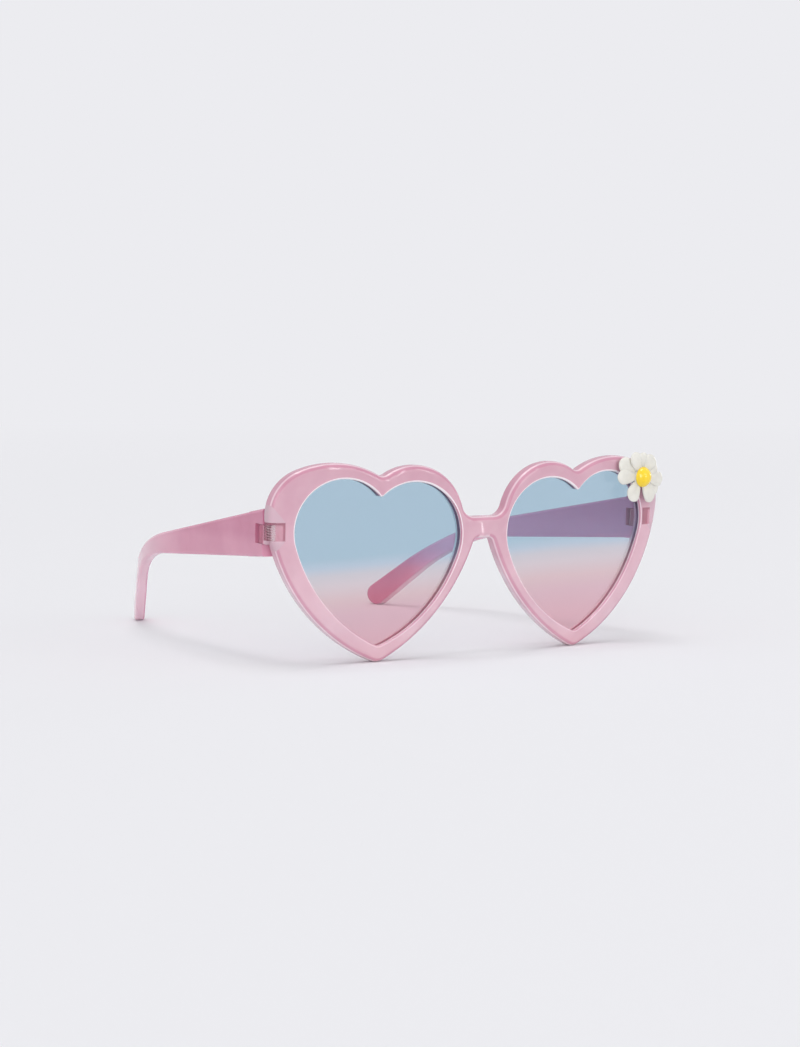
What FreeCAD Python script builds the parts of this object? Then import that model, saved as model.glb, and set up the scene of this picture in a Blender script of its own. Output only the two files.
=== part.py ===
import FreeCAD, Part
import math
import os

import Sketcher
from FreeCAD import Placement, Rotation, Vector

# Heart shaped sunglasses, standing on the tips of both hearts and of both temples.
# The frame the pieces are drawn in: X to the wearer's left, Y back along the temples, Z up along the front.
# Its origin lies between the tips of the hearts, under the front face of the bridge.
# Every piece is then tipped back about X by one angle, so that all four tips stand on the plane Z = 0.

# Driving dimensions, in millimetres and degrees
SIZES = {
    # Curved front
    "front_curve_radius": 390.0,
    "front_thickness": 4.3,
    "outer_front_round": 1.6,
    "outer_back_round": 1.2,
    "opening_round": 0.5,
    # Heart shaped opening of the front
    "lens_gap": 15.5,
    "lens_width": 50.4,
    "temple_lobe_radius": 14.1,
    "temple_lobe_height": 36.1,
    "nose_lobe_radius": 15.0,
    "nose_lobe_height": 34.0,
    "temple_flank_radius": 44.8,
    "nose_flank_radius": 41.5,
    "tip_setback": 25.4,
    "opening_tip_radius": 2.6,
    "opening_notch_radius": 0.8,
    # Rim round the opening
    "rim_tip": 4.6,
    "rim_crown": 4.3,
    "rim_nose_top": 4.6,
    "rim_side": 7.1,
    "shoulder_radius": 12.8,
    "shoulder_rise": 4.5,
    "crown_radius": 27.5,
    "outer_flank_radius": 50.0,
    "outer_tip_radius": 4.5,
    "outer_nose_radius": 16.3,
    "outer_notch_radius": 2.5,
    "nose_gap": 5.7,
    "nose_slope_radius": 57.3,
    "bridge_top_height": 38.9,
    "bridge_height": 6.1,
    "bridge_top_fillet": 4.0,
    "bridge_under_fillet": 1.6,
    # Lenses
    "lens_thickness": 1.8,
    "lens_setback": 1.1,
    "lens_grip": 0.8,
    "lens_clearance": 0.1,
    # Hinges
    "hinge_inset": 3.2,
    "hinge_height": 35.4,
    "knuckle_radius": 2.2,
    "lug_height": 5.0,
    "lug_root": 1.5,
    "hinge_play": 0.3,
    "hinge_side_play": 0.15,
    "butt_gap": 0.1,
    "boss_flat": 2.5,
    "boss_length": 7.0,
    "screw_radius": 0.75,
    "screw_running_fit": 0.05,
    "screw_grip_fit": 0.02,
    "screw_head_radius": 1.3,
    "screw_head_height": 0.9,
    "screw_slot_width": 0.4,
    "screw_slot_depth": 0.45,
    "screw_recess": 0.3,
    "screw_floor": 1.0,
    # Temples
    "temple_outer_inset": 0.3,
    "temple_root_height": 12.8,
    "temple_root_rise": 0.2,
    "temple_length": 115.2,
    "temple_root_thickness": 4.0,
    "temple_hook_thickness": 3.2,
    "temple_edge_round": 0.9,
    "hook_top_slope": 37.7,
    "hook_under_slope": 41.3,
    "knee_top_run": 30.3,
    "knee_under_run": 28.5,
    "knee_top_radius": 100.0,
    "knee_under_radius": 60.0,
    "temple_tip_radius": 3.5,
    "shaft_toe_in": 2.75,
    "hook_toe_in": 23.3,
    "bend_distance": 80.9,
    "bend_radius": 90.0,
    "stand_angle": 2.57,
    # Daisy
    "daisy_side_inset": 9.0,
    "daisy_height": 48.2,
    "petal_reach": 10.0,
    "petal_width": 4.9,
    "petal_base_width": 2.6,
    "petal_inner": 1.0,
    "petal_thickness": 2.0,
    "petal_round": 0.9,
    "petal_raise": 0.4,
    "petal_tilt": 6.0,
    "hub_radius": 3.4,
    "hub_thickness": 2.0,
    "dome_radius": 3.0,
    "dome_height": 2.2,
    "dome_clearance": 0.1,
    "adhesive_radius": 2.4,
    "adhesive_thickness": 0.35,
}
# The petals round the flower: direction, counted from the wearer's left towards the top, and share of the
# full reach
PETALS = ((178, 0.99), (152, 1.0), (117, 0.82), (86, 0.7), (58, 0.72), (31, 0.66), (-7, 0.88), (-32, 0.87),
          (-61, 0.84), (-125, 0.82))

doc = FreeCAD.newDocument("heart_sunglasses")
sheet = doc.addObject("Spreadsheet::Sheet", "Sizes")
for row, (alias, value) in enumerate(SIZES.items(), 1):
    sheet.set("A%d" % row, alias)
    sheet.set("B%d" % row, str(value))
    sheet.setAlias("B%d" % row, alias)
doc.recompute()


class Size:
    """The sheet's sizes as plain numbers, for starting positions and placements."""

    def __getattr__(self, alias):
        return float(sheet.get(alias))


size = Size()

SIDE_PLANE = Rotation(Vector(0, 1, 0), Vector(0, 0, 1), Vector(1, 0, 0), "XYZ")
FRONT_PLANE = Rotation(Vector(1, 0, 0), 90)
# Longer than any piece, for cuts that run right through
FAR = 200.0
# Two places closer than this are the same
TOUCH = 0.001

# Places that several pieces share, as expressions on the sheet
SIDE_X = "(Sizes.lens_gap / 2 + Sizes.lens_width + Sizes.rim_side)"
TEMPLE_X = "(%s - Sizes.temple_outer_inset)" % SIDE_X
HINGE_X = "(%s - Sizes.hinge_inset)" % SIDE_X
KNUCKLE_X = "(%s - Sizes.knuckle_radius)" % HINGE_X
BACK_RADIUS = "(Sizes.front_curve_radius - Sizes.front_thickness)"
HINGE_Y = ("(Sizes.front_curve_radius - sqrt({back}^2 - {x}^2) + Sizes.knuckle_radius + Sizes.hinge_play)"
           .format(back=BACK_RADIUS, x=HINGE_X))
TIP_X = "(Sizes.lens_gap / 2 + Sizes.tip_setback)"
TIP_Y = "(%s + Sizes.temple_length)" % HINGE_Y
STAND_Y = ("(Sizes.front_curve_radius - sqrt(Sizes.front_curve_radius^2 - {x}^2) + Sizes.outer_front_round)"
           .format(x=TIP_X))
TIP_Z = ("(Sizes.temple_tip_radius / cos(Sizes.stand_angle * 1 deg)"
         " - ({tip} - {stand}) * tan(Sizes.stand_angle * 1 deg))".format(tip=TIP_Y, stand=STAND_Y))
SHAFT_TOP = "(Sizes.hinge_height + Sizes.temple_root_rise + Sizes.temple_root_height / 2)"
SHAFT_UNDER = "(Sizes.hinge_height + Sizes.temple_root_rise - Sizes.temple_root_height / 2)"
# How much each edge of the temple's shaft falls on its way from the hinge to the knee
FALL = ("(({shaft} - {z} {sign} Sizes.temple_tip_radius * cos(Sizes.hook_{edge}_slope * 1 deg)"
        " - Sizes.knee_{edge}_run * tan(Sizes.hook_{edge}_slope * 1 deg)) / (Sizes.temple_length"
        " {other} Sizes.temple_tip_radius * sin(Sizes.hook_{edge}_slope * 1 deg) - Sizes.knee_{edge}_run))")
TOP_FALL = FALL.format(shaft=SHAFT_TOP, z=TIP_Z, edge="top", sign="-", other="+")
UNDER_FALL = FALL.format(shaft=SHAFT_UNDER, z=TIP_Z, edge="under", sign="+", other="-")
SCREW_END = "(%s + Sizes.screw_floor)" % SHAFT_UNDER
SCREW_SEAT = ("(%s - Sizes.screw_head_radius * %s - Sizes.screw_recess - Sizes.screw_head_height)"
              % (SHAFT_TOP, TOP_FALL))
GROOVE_GROW = "(Sizes.lens_grip + Sizes.lens_clearance)"


def value(expression):
    """The number that an expression on the sheet gives now."""
    result = sheet.evalExpression(expression)
    return float(getattr(result, "Value", result))


def point(across, up):
    """A point of a sketch, from two expressions."""
    return Vector(value(across), value(up), 0)


def meet(a, reach_a, b, reach_b, side):
    """The point at two given distances from a and b, left (1) or right (-1) of the way from a to b."""
    along = (b - a).normalize()
    span = a.distanceToPoint(b)
    foot = (reach_a ** 2 - reach_b ** 2 + span ** 2) / (2 * span)
    height = math.sqrt(reach_a ** 2 - foot ** 2)
    return a + along * foot + Vector(-along.y, along.x, 0) * height * side


def toward(centre, target, radius):
    """The point of a circle that lies in the direction of a target."""
    return centre + (target - centre).normalize() * radius


def crossing(a, slope_a, b, slope_b):
    """Where two straight lines cross, each given by a point and its rise."""
    x = (b.y - slope_b * b.x - a.y + slope_a * a.x) / (slope_a - slope_b)
    return Vector(x, a.y + slope_a * (x - a.x), 0)


def rounding(before, corner, after, radius):
    """Start, centre and end of the arc that rounds a corner."""
    back = (before - corner).normalize()
    ahead = (after - corner).normalize()
    half = back.getAngle(ahead) / 2
    run = radius / math.tan(half)
    centre = corner + (back + ahead).normalize() * (radius / math.sin(half))
    return corner + back * run, centre, corner + ahead * run


class Outline:
    """A closed outline in a sketch, drawn run by run, with its dimensions bound to the sheet."""

    def __init__(self, name, rotation):
        self.sketch = doc.addObject("Sketcher::SketchObject", name)
        self.sketch.Placement = Placement(Vector(), rotation)
        self.runs = []

    def line(self, start, end):
        number = self.sketch.addGeometry(Part.LineSegment(start, end))
        self.runs.append((number, 1, 2))
        return number

    def arc(self, centre, start, end, turn=1):
        """An arc from start to end, counter-clockwise (1) or clockwise (-1)."""
        circle = Part.Circle(centre, Vector(0, 0, 1), centre.distanceToPoint(start))
        first, last = (circle.parameter(end_point) for end_point in (start, end)[::turn])
        number = self.sketch.addGeometry(Part.ArcOfCircle(circle, first, last))
        self.runs.append((number, 1, 2) if turn > 0 else (number, 2, 1))
        return number

    def close(self, corners=()):
        """Joins each run to the next, smoothly except after the runs given as corners."""
        for (number, _, end), (following, start, _) in zip(self.runs, self.runs[1:] + self.runs[:1]):
            kind = "Coincident" if number in corners else "Tangent"
            self.sketch.addConstraint(Sketcher.Constraint(kind, number, end, following, start))

    def fix(self, kind, *where):
        self.sketch.addConstraint(Sketcher.Constraint(kind, *where))

    def bind(self, kind, *where):
        """Adds a dimension whose last argument is its expression on the sheet."""
        *places, expression = where
        start = value(expression)
        if kind == "Angle":
            start = math.radians(start)
        number = self.sketch.addConstraint(Sketcher.Constraint(kind, *places, start))
        name = "%s_%d" % (kind.lower(), number)
        self.sketch.renameConstraint(number, name)
        self.sketch.setExpression("Constraints." + name, expression)

    def place(self, number, position, across, up):
        """Fixes a point of a run from the sketch's origin."""
        self.bind("DistanceX", -1, 1, number, position, across)
        self.bind("DistanceY", -1, 1, number, position, up)


def extrude(outline, direction, ahead, behind="0"):
    body = doc.addObject("Part::Extrusion", outline.sketch.Name + "_run")
    body.Base = outline.sketch
    body.DirMode = "Custom"
    body.Dir = direction
    body.Solid = True
    body.setExpression("LengthFwd", ahead)
    body.setExpression("LengthRev", behind)
    return body


def combine(kind, name, *shapes):
    body = doc.addObject("Part::" + kind, name)
    if kind == "MultiFuse":
        body.Shapes = shapes
    else:
        body.Base, body.Tool = shapes
    body.Refine = True
    return body


def cylinder(name, radius, height, x="0", y="0", z="0"):
    body = doc.addObject("Part::Cylinder", name)
    body.setExpression("Radius", radius)
    body.setExpression("Height", height)
    for axis, place in zip("xyz", (x, y, z)):
        body.setExpression("Placement.Base." + axis, place)
    return body


def box(name, spans):
    """A block from three pairs of expressions: its start and its size along X, Y and Z."""
    body = doc.addObject("Part::Box", name)
    for axis, side, (start, length) in zip("xyz", ("Length", "Width", "Height"), spans):
        body.setExpression("Placement.Base." + axis, start)
        body.setExpression(side, length)
    return body


def round_edges(name, base, chosen):
    """Rounds the edges of a solid. chosen gives each edge its radius, or none."""
    doc.recompute()
    body = doc.addObject("Part::Fillet", name)
    body.Base = base
    radii = [chosen(edge) for edge in base.Shape.Edges]
    body.Edges = [(number, radius, radius) for number, radius in enumerate(radii, 1) if radius]
    return body


def middle(edge):
    return edge.valueAt((edge.FirstParameter + edge.LastParameter) / 2)


def curve_depth(place):
    """How far a point lies from the front's curved face, measured inwards."""
    return size.front_curve_radius - math.hypot(place.x, place.y - size.front_curve_radius)


def curved_layer(name, front, back):
    """The layer of the curved front between two depths below its face."""
    radii = ("Sizes.front_curve_radius - (%s)" % depth for depth in (front, back))
    walls = [cylinder("%s_wall_%d" % (name, number), radius, str(2 * FAR), "0", "Sizes.front_curve_radius",
                      str(-FAR)) for number, radius in enumerate(radii)]
    return combine("Cut", name, *walls)


def heart(name, grow, rounded):
    """The left heart, wider than the lens opening by grow all round."""
    outline = Outline(name, FRONT_PLANE)
    temple_place = ("Sizes.lens_gap / 2 + Sizes.lens_width - Sizes.temple_lobe_radius",
                    "Sizes.temple_lobe_height")
    nose_place = ("Sizes.lens_gap / 2 + Sizes.nose_lobe_radius", "Sizes.nose_lobe_height")
    tip_place = (TIP_X, "Sizes.rim_tip + Sizes.opening_tip_radius")
    temple, nose, tip = (point(*place) for place in (temple_place, nose_place, tip_place))
    temple_radius, nose_radius, tip_radius, temple_sweep, nose_sweep = (
        "Sizes.%s + %s" % (alias, grow) for alias in (
            "temple_lobe_radius", "nose_lobe_radius", "opening_tip_radius", "temple_flank_radius",
            "nose_flank_radius"))
    temple_flank = meet(temple, size.temple_flank_radius - size.temple_lobe_radius,
                        tip, size.temple_flank_radius - size.opening_tip_radius, -1)
    nose_flank = meet(nose, size.nose_flank_radius - size.nose_lobe_radius,
                      tip, size.nose_flank_radius - size.opening_tip_radius, 1)
    notch_radius = size.opening_notch_radius if rounded else 0.0
    notch = meet(nose, value(nose_radius) + notch_radius, temple, value(temple_radius) + notch_radius, 1)
    nose_end = toward(nose, notch, value(nose_radius))
    temple_end = toward(temple, notch, value(temple_radius))
    nose_turn = toward(nose_flank, nose, value(nose_sweep))
    nose_foot = toward(nose_flank, tip, value(nose_sweep))
    temple_foot = toward(temple_flank, tip, value(temple_sweep))
    temple_turn = toward(temple_flank, temple, value(temple_sweep))

    nose_arc = outline.arc(nose, nose_end, nose_turn)
    nose_flank_arc = outline.arc(nose_flank, nose_turn, nose_foot)
    tip_arc = outline.arc(tip, nose_foot, temple_foot)
    temple_flank_arc = outline.arc(temple_flank, temple_foot, temple_turn)
    temple_arc = outline.arc(temple, temple_turn, temple_end)
    corners = (temple_arc,)
    if rounded:
        notch_arc = outline.arc(notch, temple_end, nose_end, -1)
        outline.bind("Radius", notch_arc, "Sizes.opening_notch_radius")
        corners = ()
    outline.close(corners)
    for arc, radius in ((nose_arc, nose_radius), (temple_arc, temple_radius), (tip_arc, tip_radius),
                        (nose_flank_arc, nose_sweep), (temple_flank_arc, temple_sweep)):
        outline.bind("Radius", arc, radius)
    outline.place(nose_arc, 3, *nose_place)
    outline.place(temple_arc, 3, *temple_place)
    outline.place(tip_arc, 3, *tip_place)
    return extrude(outline, Vector(0, 1, 0), str(FAR), str(FAR))


def front_outline():
    """The outer outline of the front's left half, from the middle of the bridge round the heart."""
    outline = Outline("front_outline", FRONT_PLANE)
    bridge_top = "Sizes.bridge_top_height"
    bridge_under = "Sizes.bridge_top_height - Sizes.bridge_height"
    tip_place = (TIP_X, "Sizes.outer_tip_radius")
    nose_top = "Sizes.nose_lobe_height + Sizes.nose_lobe_radius + Sizes.rim_nose_top"
    nose_place = ("Sizes.lens_gap / 2 + Sizes.nose_lobe_radius", nose_top + " - Sizes.outer_nose_radius")
    shoulder_place = (SIDE_X + " - Sizes.shoulder_radius", "Sizes.temple_lobe_height + Sizes.shoulder_rise")
    crown_top = "Sizes.temple_lobe_height + Sizes.temple_lobe_radius + Sizes.rim_crown"
    crown_height = crown_top + " - Sizes.crown_radius"
    saddle_place = ("Sizes.nose_gap / 2", bridge_under)
    tip, nose, shoulder, saddle = (
        point(*place) for place in (tip_place, nose_place, shoulder_place, saddle_place))
    top, under = value(bridge_top), value(bridge_under)

    rise = shoulder.y - value(crown_height)
    reach = size.crown_radius - size.shoulder_radius
    crown = Vector(shoulder.x - math.sqrt(reach ** 2 - rise ** 2), value(crown_height), 0)
    flank = meet(shoulder, size.outer_flank_radius - size.shoulder_radius,
                 tip, size.outer_flank_radius - size.outer_tip_radius, -1)
    slope = meet(tip, size.nose_slope_radius - size.outer_tip_radius, saddle, size.nose_slope_radius, -1)
    notch = meet(nose, size.outer_nose_radius + size.outer_notch_radius,
                 crown, size.crown_radius + size.outer_notch_radius, 1)
    top_gap = size.outer_nose_radius + size.bridge_top_fillet
    top_rise = top + size.bridge_top_fillet - nose.y
    top_fillet = Vector(nose.x - math.sqrt(top_gap ** 2 - top_rise ** 2), nose.y + top_rise, 0)
    under_gap = size.nose_slope_radius + size.bridge_under_fillet
    under_rise = under - size.bridge_under_fillet - slope.y
    under_fillet = Vector(slope.x - math.sqrt(under_gap ** 2 - under_rise ** 2), slope.y + under_rise, 0)

    under_end = Vector(under_fillet.x, under, 0)
    slope_start = toward(slope, under_fillet, size.nose_slope_radius)
    slope_end = toward(slope, tip, size.nose_slope_radius)
    flank_start = toward(flank, tip, size.outer_flank_radius)
    flank_end = toward(flank, shoulder, size.outer_flank_radius)
    crown_start = toward(crown, shoulder, size.crown_radius)
    crown_end = toward(crown, notch, size.crown_radius)
    nose_start = toward(nose, notch, size.outer_nose_radius)
    nose_end = toward(nose, top_fillet, size.outer_nose_radius)
    top_end = Vector(top_fillet.x, top, 0)

    under_line = outline.line(Vector(0, under, 0), under_end)
    under_arc = outline.arc(under_fillet, under_end, slope_start, -1)
    slope_arc = outline.arc(slope, slope_start, slope_end)
    tip_arc = outline.arc(tip, slope_end, flank_start)
    flank_arc = outline.arc(flank, flank_start, flank_end)
    shoulder_arc = outline.arc(shoulder, flank_end, crown_start)
    crown_arc = outline.arc(crown, crown_start, crown_end)
    notch_arc = outline.arc(notch, crown_end, nose_start, -1)
    nose_arc = outline.arc(nose, nose_start, nose_end)
    top_arc = outline.arc(top_fillet, nose_end, top_end, -1)
    top_line = outline.line(top_end, Vector(0, top, 0))
    middle_line = outline.line(Vector(0, top, 0), Vector(0, under, 0))
    outline.close((top_line, middle_line))
    for line in (under_line, top_line):
        outline.fix("Horizontal", line)
    outline.place(middle_line, 1, "0", bridge_top)
    outline.place(middle_line, 2, "0", bridge_under)
    for arc, alias in ((under_arc, "bridge_under_fillet"), (slope_arc, "nose_slope_radius"),
                       (tip_arc, "outer_tip_radius"), (flank_arc, "outer_flank_radius"),
                       (shoulder_arc, "shoulder_radius"), (crown_arc, "crown_radius"),
                       (notch_arc, "outer_notch_radius"), (nose_arc, "outer_nose_radius"),
                       (top_arc, "bridge_top_fillet")):
        outline.bind("Radius", arc, "Sizes." + alias)
    outline.place(tip_arc, 3, *tip_place)
    outline.place(shoulder_arc, 3, *shoulder_place)
    outline.place(nose_arc, 3, *nose_place)
    outline.bind("DistanceY", -1, 1, crown_arc, 3, crown_height)
    saddle_mark = outline.sketch.addGeometry(Part.Point(saddle), True)
    outline.place(saddle_mark, 1, *saddle_place)
    outline.fix("PointOnObject", saddle_mark, 1, slope_arc)
    return extrude(outline, Vector(0, 1, 0), str(FAR), str(FAR))


def mirrored(name, source):
    body = doc.addObject("Part::Mirroring", name)
    body.Source = source
    body.Normal = Vector(1, 0, 0)
    return body


def front():
    """The moulded front: curved rims and bridge, lens grooves, and a hinge lug behind each end."""
    blank = combine("Common", "front_blank", front_outline(),
                    curved_layer("front_layer", "0", "Sizes.front_thickness"))

    def outer_radius(edge):
        place = middle(edge)
        if abs(place.x) < TOUCH:
            return None
        if abs(curve_depth(place)) < TOUCH:
            return size.outer_front_round
        if abs(curve_depth(place) - size.front_thickness) < TOUCH:
            return size.outer_back_round
        return None

    rounded = round_edges("front_rounded", blank, outer_radius)
    opening = heart("lens_opening", "0", True)
    rim = combine("Cut", "front_rim", rounded, opening)

    def opening_radius(edge):
        place = middle(edge)
        depth = curve_depth(place)
        on_face = min(abs(depth), abs(depth - size.front_thickness)) < TOUCH
        if on_face and opening.Shape.distToShape(Part.Vertex(place))[0] < TOUCH:
            return size.opening_round
        return None

    soft_rim = round_edges("front_soft_rim", rim, opening_radius)
    groove = combine("Common", "lens_groove", heart("groove_heart", GROOVE_GROW, False),
                     curved_layer("groove_layer", "Sizes.lens_setback - Sizes.lens_clearance",
                                  "Sizes.lens_setback + Sizes.lens_thickness + Sizes.lens_clearance"))
    grooved = combine("Cut", "front_grooved", soft_rim, groove)
    lug_floor = "Sizes.hinge_height - Sizes.lug_height / 2"
    knuckle = cylinder("lug_knuckle", "Sizes.knuckle_radius", "Sizes.lug_height",
                       HINGE_X, HINGE_Y, lug_floor)
    root_depth = "Sizes.knuckle_radius + Sizes.hinge_play + Sizes.lug_root"
    root = box("lug_stem", ((KNUCKLE_X, "%s - %s" % (TEMPLE_X, KNUCKLE_X)),
                            ("%s - (%s)" % (HINGE_Y, root_depth), root_depth),
                            (lug_floor, "Sizes.lug_height")))
    half = combine("MultiFuse", "front_half_solid", grooved, knuckle, root)
    bore = cylinder("lug_bore", "Sizes.screw_radius + Sizes.screw_running_fit", "2 * Sizes.lug_height",
                    HINGE_X, HINGE_Y, "Sizes.hinge_height - Sizes.lug_height")
    half = combine("Cut", "front_half", half, bore)
    return combine("MultiFuse", "front_frame", half, mirrored("front_right_half", half))


def lens():
    """A curved lens of even thickness, wide enough to sit in the groove."""
    layer = curved_layer("lens_layer", "Sizes.lens_setback", "Sizes.lens_setback + Sizes.lens_thickness")
    return combine("Common", "left_lens", heart("lens_heart", "Sizes.lens_grip", False), layer)


def temple_side():
    """The temple seen from its side: a tapering shaft, the ear bend and the paddle."""
    outline = Outline("temple_side", SIDE_PLANE)
    under_rise, top_rise = -value(UNDER_FALL), -value(TOP_FALL)
    hook_under_rise, hook_top_rise = (-math.tan(math.radians(slope)) for slope in (
        size.hook_under_slope, size.hook_top_slope))
    tip = point(TIP_Y, TIP_Z)
    under_normal, top_normal = (Vector(math.sin(angle), math.cos(angle), 0) for angle in (
        math.radians(size.hook_under_slope), math.radians(size.hook_top_slope)))
    hook_under = tip - under_normal * size.temple_tip_radius
    hook_top = tip + top_normal * size.temple_tip_radius
    under_height = "%s + %s * %s" % (SHAFT_UNDER, HINGE_Y, UNDER_FALL)
    top_height = "%s + %s * %s" % (SHAFT_TOP, HINGE_Y, TOP_FALL)
    under_root, top_root = point("0", under_height), point("0", top_height)
    under_knee = crossing(under_root, under_rise, hook_under, hook_under_rise)
    top_knee = crossing(top_root, top_rise, hook_top, hook_top_rise)
    under_start, under_centre, under_end = rounding(
        under_root, under_knee, hook_under, size.knee_under_radius)
    top_start, top_centre, top_end = rounding(hook_top, top_knee, top_root, size.knee_top_radius)

    shaft_under = outline.line(under_root, under_start)
    knee_under = outline.arc(under_centre, under_start, under_end, -1)
    hook_under_line = outline.line(under_end, hook_under)
    tip_arc = outline.arc(tip, hook_under, hook_top)
    hook_top_line = outline.line(hook_top, top_start)
    knee_top = outline.arc(top_centre, top_start, top_end)
    shaft_top = outline.line(top_end, top_root)
    root = outline.line(top_root, under_root)
    outline.close((shaft_top, root))
    outline.place(root, 1, "0", top_height)
    outline.place(root, 2, "0", under_height)
    outline.place(tip_arc, 3, TIP_Y, TIP_Z)
    outline.bind("Radius", tip_arc, "Sizes.temple_tip_radius")
    outline.bind("Radius", knee_under, "Sizes.knee_under_radius")
    outline.bind("Radius", knee_top, "Sizes.knee_top_radius")
    outline.bind("Angle", shaft_under, "-atan(%s) / 1 deg" % UNDER_FALL)
    outline.bind("Angle", hook_under_line, "-Sizes.hook_under_slope")
    outline.bind("Angle", hook_top_line, "180 - Sizes.hook_top_slope")
    outline.bind("Angle", shaft_top, "180 - atan(%s) / 1 deg" % TOP_FALL)
    return extrude(outline, Vector(1, 0, 0), str(FAR))


def temple_plan():
    """The temple seen from above: toed in a little, then bent further in behind the ear."""
    outline = Outline("temple_plan", Rotation())
    shaft, hook = ("tan(Sizes.%s * 1 deg)" % slope for slope in ("shaft_toe_in", "hook_toe_in"))
    thinning = "((Sizes.temple_root_thickness - Sizes.temple_hook_thickness) / Sizes.bend_distance)"
    inner_x = "(%s - Sizes.temple_root_thickness)" % TEMPLE_X
    end_y = "(%s + 2 * Sizes.temple_tip_radius)" % TIP_Y
    outer_root = "%s + %s * %s" % (TEMPLE_X, HINGE_Y, shaft)
    inner_root = "%s + %s * (%s - %s)" % (inner_x, HINGE_Y, shaft, thinning)
    outer_end = "%s - Sizes.bend_distance * %s - (Sizes.temple_length + 2 * Sizes.temple_tip_radius" \
                " - Sizes.bend_distance) * %s" % (TEMPLE_X, shaft, hook)
    inner_end = "%s - Sizes.temple_hook_thickness / cos(Sizes.hook_toe_in * 1 deg)" % outer_end
    start_outer, start_inner = point(outer_root, "0"), point(inner_root, "0")
    far_outer, far_inner = point(outer_end, end_y), point(inner_end, end_y)
    steep = -1 / math.tan(math.radians(size.hook_toe_in))
    outer_bend = crossing(start_outer, -1 / value(shaft), far_outer, steep)
    inner_bend = crossing(start_inner, -1 / value("%s - %s" % (shaft, thinning)), far_inner, steep)
    outer_radius = "Sizes.bend_radius + Sizes.temple_hook_thickness"
    outer_start, outer_centre, outer_finish = rounding(
        start_outer, outer_bend, far_outer, value(outer_radius))
    inner_start, inner_centre, inner_finish = rounding(
        far_inner, inner_bend, start_inner, size.bend_radius)

    root = outline.line(start_inner, start_outer)
    outer_shaft = outline.line(start_outer, outer_start)
    outer_arc = outline.arc(outer_centre, outer_start, outer_finish)
    outer_hook = outline.line(outer_finish, far_outer)
    end = outline.line(far_outer, far_inner)
    inner_hook = outline.line(far_inner, inner_start)
    inner_arc = outline.arc(inner_centre, inner_start, inner_finish, -1)
    inner_shaft = outline.line(inner_finish, start_inner)
    outline.close((root, outer_hook, end, inner_shaft))
    outline.place(root, 1, inner_root, "0")
    outline.place(root, 2, outer_root, "0")
    outline.place(end, 1, outer_end, end_y)
    outline.place(end, 2, inner_end, end_y)
    outline.bind("Radius", outer_arc, outer_radius)
    outline.bind("Radius", inner_arc, "Sizes.bend_radius")
    outline.bind("Angle", outer_hook, "90 + Sizes.hook_toe_in")
    outline.bind("Angle", inner_hook, "Sizes.hook_toe_in - 90")
    outline.bind("Angle", outer_shaft, "90 + Sizes.shaft_toe_in")
    outline.bind("Angle", inner_shaft, "atan(%s - %s) / 1 deg - 90" % (shaft, thinning))
    return extrude(outline, Vector(0, 0, 1), str(FAR), str(FAR))


def hinge_boss():
    """The thickening inside the temple's front end that the screw runs through, seen from above."""
    outline = Outline("hinge_boss", Rotation())
    right = HINGE_X + " + Sizes.knuckle_radius"
    flat, far = ("%s + Sizes.%s" % (HINGE_Y, length) for length in ("boss_flat", "boss_length"))
    centre, start, end = point(HINGE_X, HINGE_Y), point(KNUCKLE_X, HINGE_Y), point(right, HINGE_Y)
    nose = outline.arc(centre, start, end)
    outer = outline.line(end, point(right, far))
    slope = outline.line(point(right, far), point(KNUCKLE_X, flat))
    inner = outline.line(point(KNUCKLE_X, flat), start)
    outline.close((outer, slope))
    outline.place(nose, 3, HINGE_X, HINGE_Y)
    outline.bind("Radius", nose, "Sizes.knuckle_radius")
    outline.fix("Vertical", outer)
    outline.fix("Vertical", inner)
    outline.bind("DistanceY", -1, 1, slope, 1, far)
    outline.bind("DistanceY", -1, 1, slope, 2, flat)
    return extrude(outline, Vector(0, 0, 1), str(FAR))


def temple():
    """A temple with its fork, drawn on the wearer's left."""
    side = temple_side()
    blade = combine("Common", "temple_blade", side, temple_plan())

    def blade_radius(edge):
        return size.temple_edge_round if middle(edge).y > TOUCH else None

    soft_blade = round_edges("temple_soft_blade", blade, blade_radius)
    boss = combine("Common", "temple_boss", hinge_boss(), side)
    inner_corner = box("inner_corner", ((HINGE_X + " - " + str(FAR), str(FAR)), ("0", HINGE_Y),
                                        ("0", str(FAR))))
    relieved = combine("Cut", "temple_relieved", soft_blade, inner_corner)
    arm = combine("MultiFuse", "temple_arm", relieved, boss)
    inside_front = cylinder("butt_curve", "%s - Sizes.butt_gap" % BACK_RADIUS, str(2 * FAR), "0",
                            "Sizes.front_curve_radius", str(-FAR))
    arm = combine("Common", "temple_butted", arm, inside_front)
    slot_height = "Sizes.lug_height + 2 * Sizes.hinge_side_play"
    slot_floor = "Sizes.hinge_height - (%s) / 2" % slot_height
    slot_end = HINGE_Y + " + Sizes.knuckle_radius + Sizes.hinge_play"
    slot = box("temple_slot", (("0", str(FAR)), ("0", slot_end), (slot_floor, slot_height)))
    grip = cylinder("temple_bore", "Sizes.screw_radius + Sizes.screw_grip_fit", str(FAR), HINGE_X, HINGE_Y,
                    SCREW_END)
    recess = cylinder("screw_recess", "Sizes.screw_head_radius + Sizes.screw_running_fit", str(FAR), HINGE_X,
                      HINGE_Y, SCREW_SEAT)
    cuts = combine("MultiFuse", "temple_cuts", slot, grip, recess)
    return combine("Cut", "left_temple", arm, cuts)


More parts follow.
